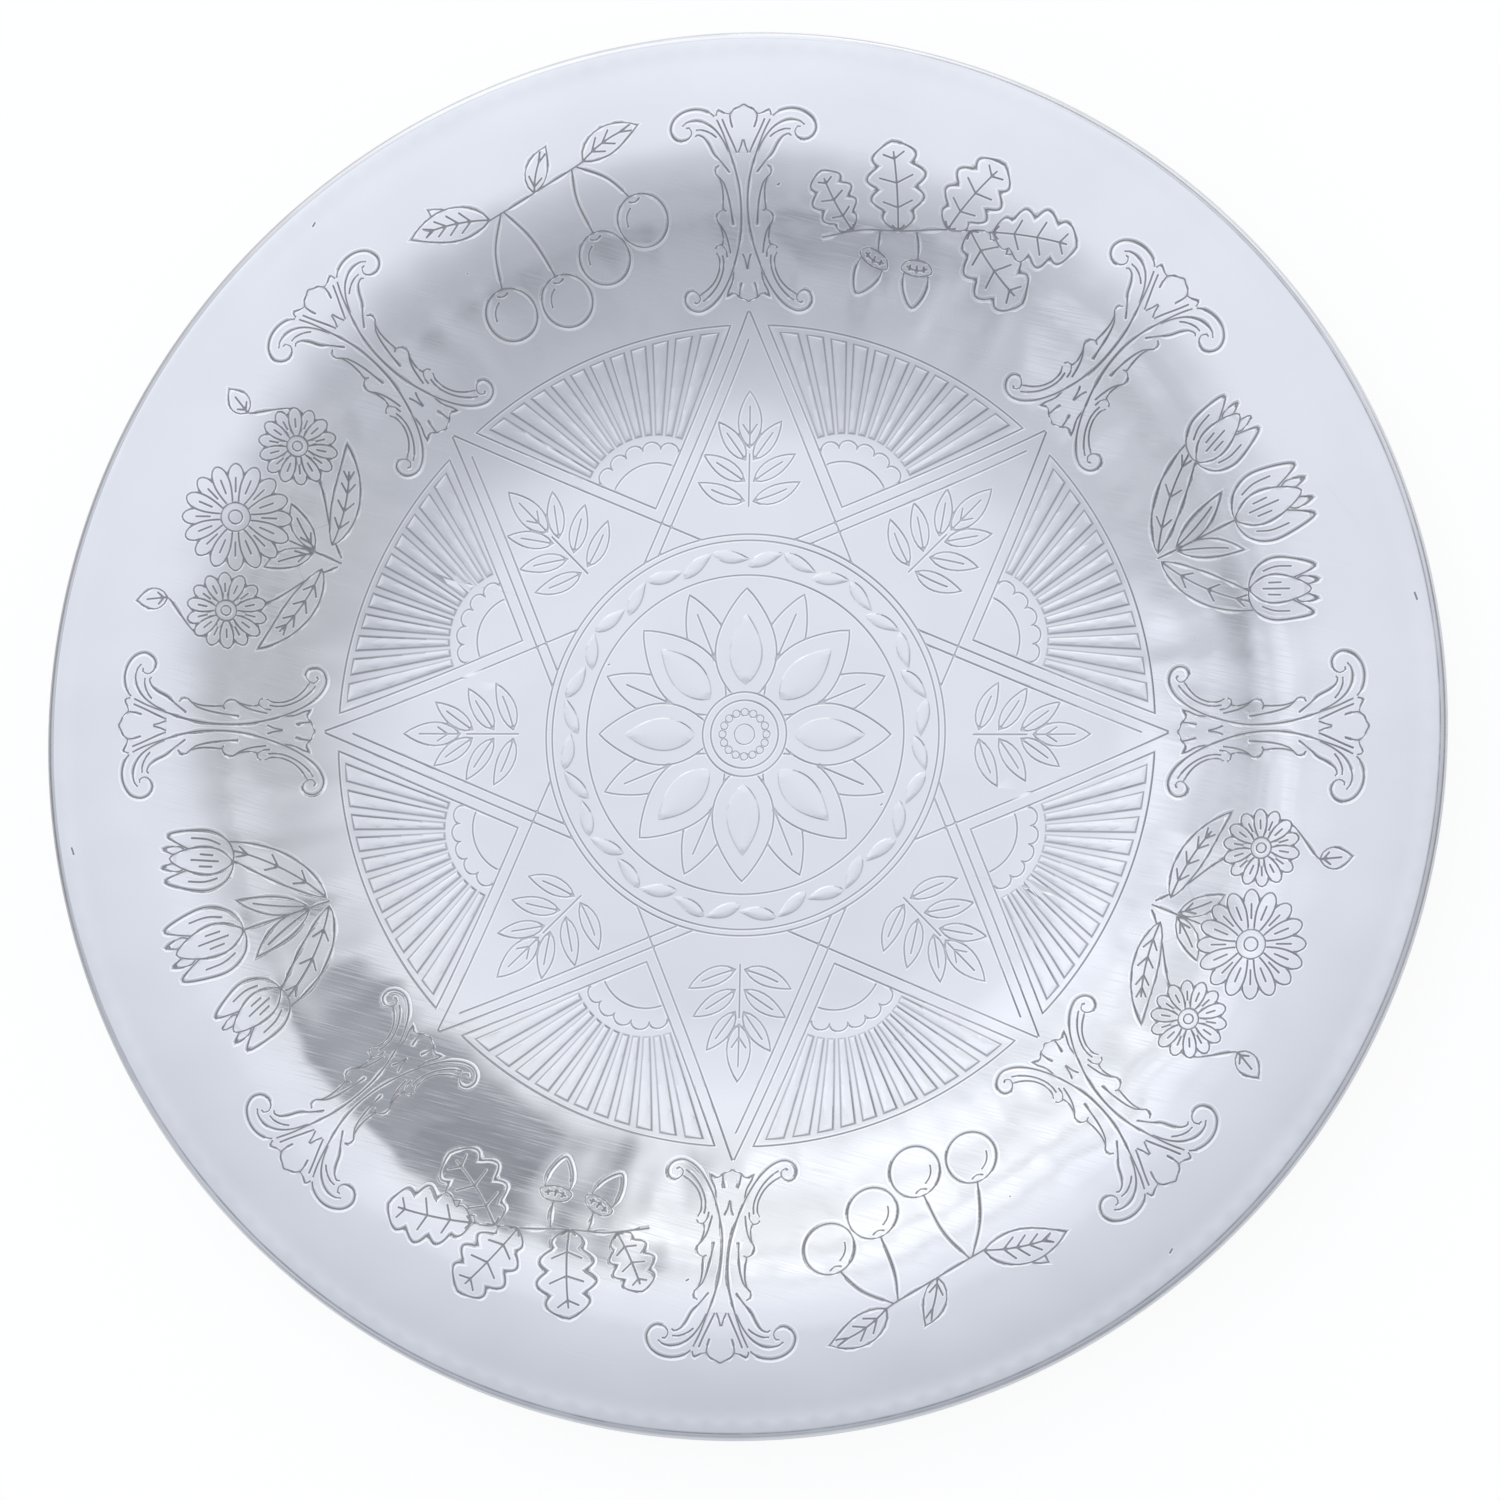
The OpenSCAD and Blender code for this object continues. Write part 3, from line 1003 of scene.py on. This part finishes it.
def on_plan(tree, place):
    """Place seen from above, its distance from the axis, and how much the joint is darkened, mostly in front
    """
    flat = stretched(tree, place, (1, 1, 0))
    radius = add(tree, "ShaderNodeVectorMath", {0: flat}, operation="LENGTH").outputs["Value"]
    front = towards(tree, flat, (0.64, -0.77, 0))
    uneven = mapped(tree, noise(tree, place, 240.0, 3.0), 0.35, 0.6, 0.7, 1.0)
    return flat, radius, times(tree, mapped(tree, front, -0.06, 0.01), uneven)


# Polished plate: bright silver, a little clouded, wavier on the wall, with fine brushed streaks that are
# duller than the rest, with tarnish left in the grooves and at the feet of the ribs, with painted highlights
# that lighten the lips of the grooves, and darker along the joint, mostly in front
bright_silver = (0.87, 0.875, 0.885)
clouded_silver = (0.835, 0.84, 0.85)
highlight_silver = (0.975, 0.98, 0.985, 1)
darkened_silver = (0.20, 0.20, 0.21, 1)
well_end = 66 * MM
wall_begin = 86 * MM
wall_middle = 96 * MM
brush_angle = math.radians(14)


def polished_plate():
    material, tree, inputs, place = new_silver("polished_plate")
    flat, radius, joint_dark = on_plan(tree, place)

    def marked(name):
        return add(tree, "ShaderNodeAttribute", attribute_name=name).outputs["Fac"]

    def by_place(in_well, on_wall):
        return mapped(tree, radius, well_end, wall_begin, in_well, on_wall)

    tone = ramp(tree, noise(tree, place, 38.0, 3.0), (0.3, *clouded_silver), (0.7, *bright_silver))
    in_core = mapped(tree, marked("off_middle"), by_place(0.23, 0.29), 0.07)
    in_groove = times(tree, in_core, by_place(0.36, 0.75))
    # Darker along the joint, mostly in front
    in_joint = times(tree, times(tree, marked("joint"), joint_dark), 0.9)
    darkening = calc(tree, "MAXIMUM", in_groove, in_joint)
    groove = marked("groove")
    # Painted highlight: the lips at the sides of each groove are lightened towards white
    lip_highlight_mask = times(tree, mapped(tree, groove, 0.02, 0.16), mapped(tree, groove, 0.54, 0.40))
    tone_with_lip_highlight = blended(tree, lip_highlight_mask, tone, highlight_silver)
    tree.links.new(blended(tree, darkening, tone_with_lip_highlight, darkened_silver), inputs["Base Color"])
    off_wall = calc(tree, "ABSOLUTE", calc(tree, "SUBTRACT", radius, wall_middle))
    on_wall = mapped(tree, off_wall, 0.022, 0.012)
    turned = out(tree, "ShaderNodeVectorRotate", {"Vector": place, "Angle": brush_angle},
                 rotation_type="Z_AXIS")
    streaks = noise(tree, stretched(tree, turned, (90, 3000, 0)), 1.0, 2.0)
    brushed = mapped(tree, streaks, 0.45, 0.8, 0.09, mapped(tree, on_wall, 0, 1, 0.17, 0.36))
    tree.links.new(calc(tree, "ADD", brushed, times(tree, darkening, 0.3)), inputs["Roughness"])
    outwards = out(tree, "ShaderNodeVectorMath", {0: flat}, operation="NORMALIZE")
    up_wall = out(tree, "ShaderNodeCombineXYZ", {"Z": times(tree, radius, 34.0)})
    polar = out(tree, "ShaderNodeVectorMath", {0: scaled(tree, outwards, 7.0), 1: up_wall})
    wavy = bumped(tree, noise(tree, place, 42.0, 1.0), 0.25 * MM)
    wavy = bumped(tree, noise(tree, polar, 1.0, 1.0), 0.9 * MM, Strength=on_wall, Normal=wavy)
    tree.links.new(wavy, inputs["Normal"])
    return material


tray_body = bpy.data.objects.new("tray_body_plate", half_mesh)
bpy.context.collection.objects.link(tray_body)
tree, given, result = new_tree("sectors_round_the_axis", ("Sectors", "Int"), ("Weld", "Float"),
                               ("Metal", "Material"))
index = out(tree, "GeometryNodeInputIndex")
angle = times(tree, index, calc(tree, "DIVIDE", 2 * math.pi, given["Sectors"]))
rotation = out(tree, "FunctionNodeAxisAngleToRotation", {"Axis": (0, 0, 1), "Angle": angle})
points = out(tree, "GeometryNodePoints", {"Count": given["Sectors"]})
copies = out(tree, "GeometryNodeInstanceOnPoints",
             {"Points": points, "Instance": given["Geometry"], "Rotation": rotation})
real = out(tree, "GeometryNodeRealizeInstances", {"Geometry": copies})
welded = out(tree, "GeometryNodeMergeByDistance", {"Geometry": real, "Distance": given["Weld"]})
tree.links.new(plated(tree, welded, given["Metal"]), result)
made_by(tree, tray_body, {"Sectors": sectors, "Weld": weld * MM, "Metal": polished_plate()})


# True normals of the pressed faces, so that they mirror evenly. The sides of a groove turn into it smoothly
# from the lips that the stamp threw up, and the top of a raised shape is rounded along its crest.
turn_in = 1.6
lip = 0.3
most_lean = 0.45
tiny = 1e-6


def column(rows, name, kind=float, size=1):
    """One property of all the rows of a mesh's list, as an array"""
    values = np.empty(len(rows) * size, kind)
    rows.foreach_get(name, values)
    return values.reshape(-1, size) if size > 1 else values


def pressed_normals(mesh):
    corners = column(mesh.loops, "vertex_index", int)
    sides = column(mesh.polygons, "loop_total", int)

    def at_corners(name):
        return column(mesh.attributes[name].data, "value")[corners]

    coords = column(mesh.vertices, "co", size=3)[corners] / MM
    kind = np.repeat(column(mesh.attributes["surface"].data, "value", int), sides)
    normals = np.repeat(column(mesh.polygon_normals, "vector", size=3), sides, axis=0)
    radius = np.maximum(np.hypot(coords[:, 0], coords[:, 1]), tiny)
    groove = at_corners("groove")
    deepest = np.repeat(np.maximum.reduceat(groove, np.cumsum(sides) - sides), sides)
    into_groove = (turn_in + lip) * groove / np.maximum(deepest, tiny) - lip
    off_crest = turn_in * (1 - at_corners("crest"))
    lean = np.choose(kind, (0, into_groove, 1, 0, 1, off_crest))
    for kinds, face, way in (((0, 1, 4, 5), upper_face, 1), ((3,), lower_face, -1)):
        slope = np.radians(np.interp(radius, face[:, 0], face[:, 2]))
        inward = -np.sin(slope) / radius
        true = way * np.stack([inward * coords[:, 0], inward * coords[:, 1], np.cos(slope)], -1)
        chosen = np.isin(kind, kinds)
        aside = normals - true
        aside *= np.minimum(1, most_lean / np.maximum(np.linalg.norm(aside, axis=1), tiny))[:, None]
        normals[chosen] = (true + lean[:, None] * aside)[chosen]
    normals /= np.linalg.norm(normals, axis=1)[:, None]
    mesh.normals_split_custom_set(normals.tolist())


pressed_normals(tray_body.data)
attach(tray_body, "root")
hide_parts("tray_body")

# EDGE WIRE
# Half-oval silver wire, bent into a hoop, soldered by its flat side to the cut edge of the sheet and polished
# flush with the rim, so that it stiffens the edge and rounds it off.
wire_low, wire_high = (np.array(corner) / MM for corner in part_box("edge_wire"))
wire_w = wire_high[0] - sheet_r
wire_r = (wire_high[2] - wire_low[2]) / 2
hoop_height = wire_high[2] - wire_r
hoop_steps = 2 * edge_steps
wire_steps = 33
sharp_angle = math.radians(50)


# The same silver, with a painted highlight towards +Y and painted shade towards -X, and darker along the
# joint, mostly in front
worn_silver = (0.80, 0.805, 0.82)


def wire_silver():
    material, tree, inputs, place = new_silver("wire_silver")
    flat, radius, joint_dark = on_plan(tree, place)
    patches = noise(tree, place, 160.0, 4.0)
    tone = ramp(tree, patches, (0.3, *worn_silver), (0.7, *bright_silver))
    beside = mapped(tree, radius, (sheet_r + joint_w) * MM, sheet_r * MM)
    darkening = times(tree, times(tree, beside, joint_dark), 0.85)
    # Painted highlight on the side towards +Y and painted shade on the side towards -X
    painted_highlight = mapped(tree, towards(tree, flat, (0.34, 0.94, 0)), 0.03, 0.11, 1.0, 1.14)
    painted_shade = mapped(tree, towards(tree, flat, (-0.97, 0.22, 0)), 0.08, 0.12, 1.0, 0.76)
    tone_with_painted_light = scaled(tree, tone, times(tree, painted_highlight, painted_shade))
    tree.links.new(blended(tree, darkening, tone_with_painted_light, darkened_silver), inputs["Base Color"])
    tree.links.new(mapped(tree, patches, 0, 1, 0.16, 0.36), inputs["Roughness"])
    return material


edge_wire = bpy.data.objects.new("edge_wire_hoop", bpy.data.meshes.new("edge_wire_hoop"))
bpy.context.collection.objects.link(edge_wire)
tree, given, result = new_tree("half_oval_hoop", ("Hoop radius", "Float"), ("Hoop height", "Float"),
                               ("Wire radius", "Float"), ("Wire stretch", "Float"), ("Start angle", "Float"),
                               ("Hoop steps", "Int"), ("Wire steps", "Int"), ("Metal", "Material"))
hoop = out(tree, "GeometryNodeCurvePrimitiveCircle",
           {"Resolution": given["Hoop steps"], "Radius": given["Hoop radius"]})
hoop = out(tree, "GeometryNodeSetCurveNormal", {"Curve": hoop}, mode="Z_UP")
half_round = out(tree, "GeometryNodeCurveArc",
                 {"Resolution": given["Wire steps"], "Radius": given["Wire radius"],
                  "Start Angle": given["Start angle"], "Sweep Angle": math.pi})
half_round = out(tree, "GeometryNodeSetSplineCyclic", {"Geometry": half_round, "Cyclic": True})
stretch = out(tree, "ShaderNodeCombineXYZ", {"X": given["Wire stretch"], "Y": 1.0, "Z": 1.0})
half_oval = out(tree, "GeometryNodeTransform", {"Geometry": half_round, "Scale": stretch})
swept_wire = out(tree, "GeometryNodeCurveToMesh", {"Curve": hoop, "Profile Curve": half_oval})
lift = out(tree, "ShaderNodeCombineXYZ", {"Z": given["Hoop height"]})
lifted = out(tree, "GeometryNodeTransform", {"Geometry": swept_wire, "Translation": lift})
real = out(tree, "GeometryNodeRealizeInstances", {"Geometry": lifted})
tree.links.new(plated(tree, real, given["Metal"]), result)
made_by(tree, edge_wire, {"Hoop radius": sheet_r * MM, "Hoop height": hoop_height * MM,
                          "Wire radius": wire_r * MM, "Wire stretch": wire_w / wire_r,
                          "Start angle": -math.pi / 2, "Hoop steps": hoop_steps, "Wire steps": wire_steps,
                          "Metal": wire_silver()})
edge_wire.data.set_sharp_from_angle(angle=sharp_angle)
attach(edge_wire, "root")
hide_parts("edge_wire")

# FLOOR
# Plain white table a hair below the tray, which shows as white to the camera and takes a soft shadow. The
# metal mirrors it a little greyer.
floor_half = 3.0
floor_gap = 0.02 * MM
floor_top = cad_box[0][2] - floor_gap
floor_mesh = bpy.data.meshes.new("floor")
floor_corners = [(x * floor_half, y * floor_half, floor_top) for x, y in ((-1, -1), (1, -1), (1, 1), (-1, 1))]
floor_mesh.from_pydata(floor_corners, [], [(0, 1, 2, 3)])
floor = bpy.data.objects.new("floor", floor_mesh)
bpy.context.collection.objects.link(floor)


def white_table():
    material = bpy.data.materials.new("white_table")
    material.use_nodes = True
    tree = material.node_tree
    tree.nodes.clear()
    path = add(tree, "ShaderNodeLightPath")
    seen = times(tree, path.outputs["Is Camera Ray"], 0.8)
    in_metal = times(tree, path.outputs["Is Glossy Ray"], 0.3)
    blend = calc(tree, "MAXIMUM", seen, in_metal)
    matt = out(tree, "ShaderNodeBsdfDiffuse", {"Color": (0.9, 0.9, 0.9, 1)})
    white = out(tree, "ShaderNodeEmission", {"Color": (1, 1, 1, 1), "Strength": 1.1})
    mixed = out(tree, "ShaderNodeMixShader", {0: blend, 1: matt, 2: white})
    add(tree, "ShaderNodeOutputMaterial", {"Surface": mixed})
    return material


floor_mesh.materials.append(white_table())

# STUDIO LIGHT
# White tent that the polished faces mirror: brightest towards the back left, greyer towards the front and the
# right, with a dim side at the right and a dark gap at the back, each of which shades the wall opposite.
world = bpy.data.worlds.new("white_tent")
bpy.context.scene.world = world
world.use_nodes = True
tree = world.node_tree
tree.nodes.clear()
way = add(tree, "ShaderNodeTexCoord").outputs["Generated"]


def reach(axis, start, stop):
    """How far directions lie towards an axis, from 0 at one cosine to 1 at another"""
    return mapped(tree, towards(tree, way, axis), start, stop)


def patch(azimuth, along_edges, across_edges):
    """Soft patch of the tent towards an azimuth: its edges along it, and half its width, as cosines"""
    rises, full, wanes, gone = along_edges
    ahead = (*along(azimuth), 0)
    mask = times(tree, reach(ahead, rises, full), reach(ahead, gone, wanes))
    for side in (-1, 1):
        mask = times(tree, mask, reach((*(side * above(azimuth)), 0), *across_edges))
    return mask


depth_wise = ramp(tree, reach((0, 1, 0), -1, 1), (0.0, 0.66, 0.69, 0.74), (0.12, 0.385, 0.405, 0.455),
                  (0.20, 0.415, 0.44, 0.495), (0.275, 0.485, 0.515, 0.58), (0.40, 0.57, 0.60, 0.67),
                  (0.46, 0.645, 0.675, 0.75), (0.51, 0.75, 0.785, 0.87), (0.56, 0.84, 0.875, 0.965),
                  (0.65, 0.89, 0.925, 1.01), (0.80, 1.02, 1.045, 1.10), (0.93, 1.08, 1.10, 1.13),
                  (0.955, 0.84, 0.86, 0.89), (0.98, 0.84, 0.86, 0.89), (0.992, 1.35, 1.35, 1.36))
side_wise = ramp(tree, reach((1, 0, 0), -1, 1), (0.0, 0.36, 0.36, 0.36), (0.06, 0.56, 0.56, 0.56),
                 (0.12, 0.88, 0.88, 0.88), (0.22, 1.03, 1.03, 1.03), (0.50, 1, 1, 1),
                 (0.62, 0.91, 0.905, 0.90), (0.82, 0.87, 0.86, 0.85), (0.93, 0.32, 0.32, 0.32))
tent = blended(tree, 1.0, depth_wise, side_wise, "MULTIPLY")
pale = (0.72, 0.75, 0.82, 1)
dim = (0.55, 0.56, 0.60, 1)
dark = (0.35, 0.365, 0.405, 1)
for colour, strength, azimuth, along_edges, across_edges in (
    (pale, 0.7, 203, (0.2, 0.55, 1.1, 1.2), (-0.30, -0.14)),
    (pale, 0.4, 332, (0.25, 0.55, 1.1, 1.2), (-0.45, -0.15)),
    (dim, 1.0, 358, (0.20, 0.45, 0.8, 0.95), (-0.38, -0.10)),
    (dark, 1.0, 68, (0.47, 0.53, 0.80, 0.88), (-0.36, -0.18)),
):
    tent = blended(tree, times(tree, patch(azimuth, along_edges, across_edges), strength), tent, colour)
low = reach((0, 0, 1), 0.95, 0.80)
folds = mapped(tree, noise(tree, way, 5.0, 2.0), 0.40, 0.60, -0.14, 0.14)
tent = blended(tree, 1.0, tent, calc(tree, "ADD", times(tree, folds, low), 1.0), "MULTIPLY")
path = add(tree, "ShaderNodeLightPath")
shown = blended(tree, path.outputs["Is Camera Ray"], tent, (1, 1, 1, 1))
light = out(tree, "ShaderNodeBackground", {"Color": shown, "Strength": 1.0})
add(tree, "ShaderNodeOutputWorld", {"Surface": light})
bpy.context.scene.view_settings.view_transform = "Standard"

# CAMERA
# A little off the tray's axis, with the tray a touch above and left of the middle of the frame.
frame_px = 1500
focal_px = 5280.0
centre_px = (733.5, 726.7)
azimuth = math.radians(55.42)
elevation = math.radians(78.69)
roll = math.radians(1.055)
distance = 1.006
edge_centre = Vector((0, 0, hoop_height * MM))
level = math.cos(elevation)
back = Vector((math.sin(azimuth) * level, -math.cos(azimuth) * level, math.sin(elevation)))
place = edge_centre + distance * back


def camera_axes(back):
    """Right, up and back of a camera whose picture has the tray's +Y nearly upwards"""
    up = (Vector((0, 1, 0)) - back * back.y).normalized()
    right = up.cross(back)
    return (math.cos(roll) * right + math.sin(roll) * up, math.cos(roll) * up - math.sin(roll) * right, back)


right, up, _ = camera_axes(back)
off_centre = (frame_px / 2 - centre_px[0]) * right + (centre_px[1] - frame_px / 2) * up
aim = edge_centre + distance / focal_px * off_centre
camera_data = bpy.data.cameras.new("camera")
camera_data.sensor_width = 36.0
camera_data.lens = camera_data.sensor_width * focal_px / frame_px
camera = bpy.data.objects.new("camera", camera_data)
bpy.context.collection.objects.link(camera)
axes = camera_axes((place - aim).normalized())
camera.matrix_world = Matrix.Translation(place) @ Matrix(axes).transposed().to_4x4()
bpy.context.scene.camera = camera
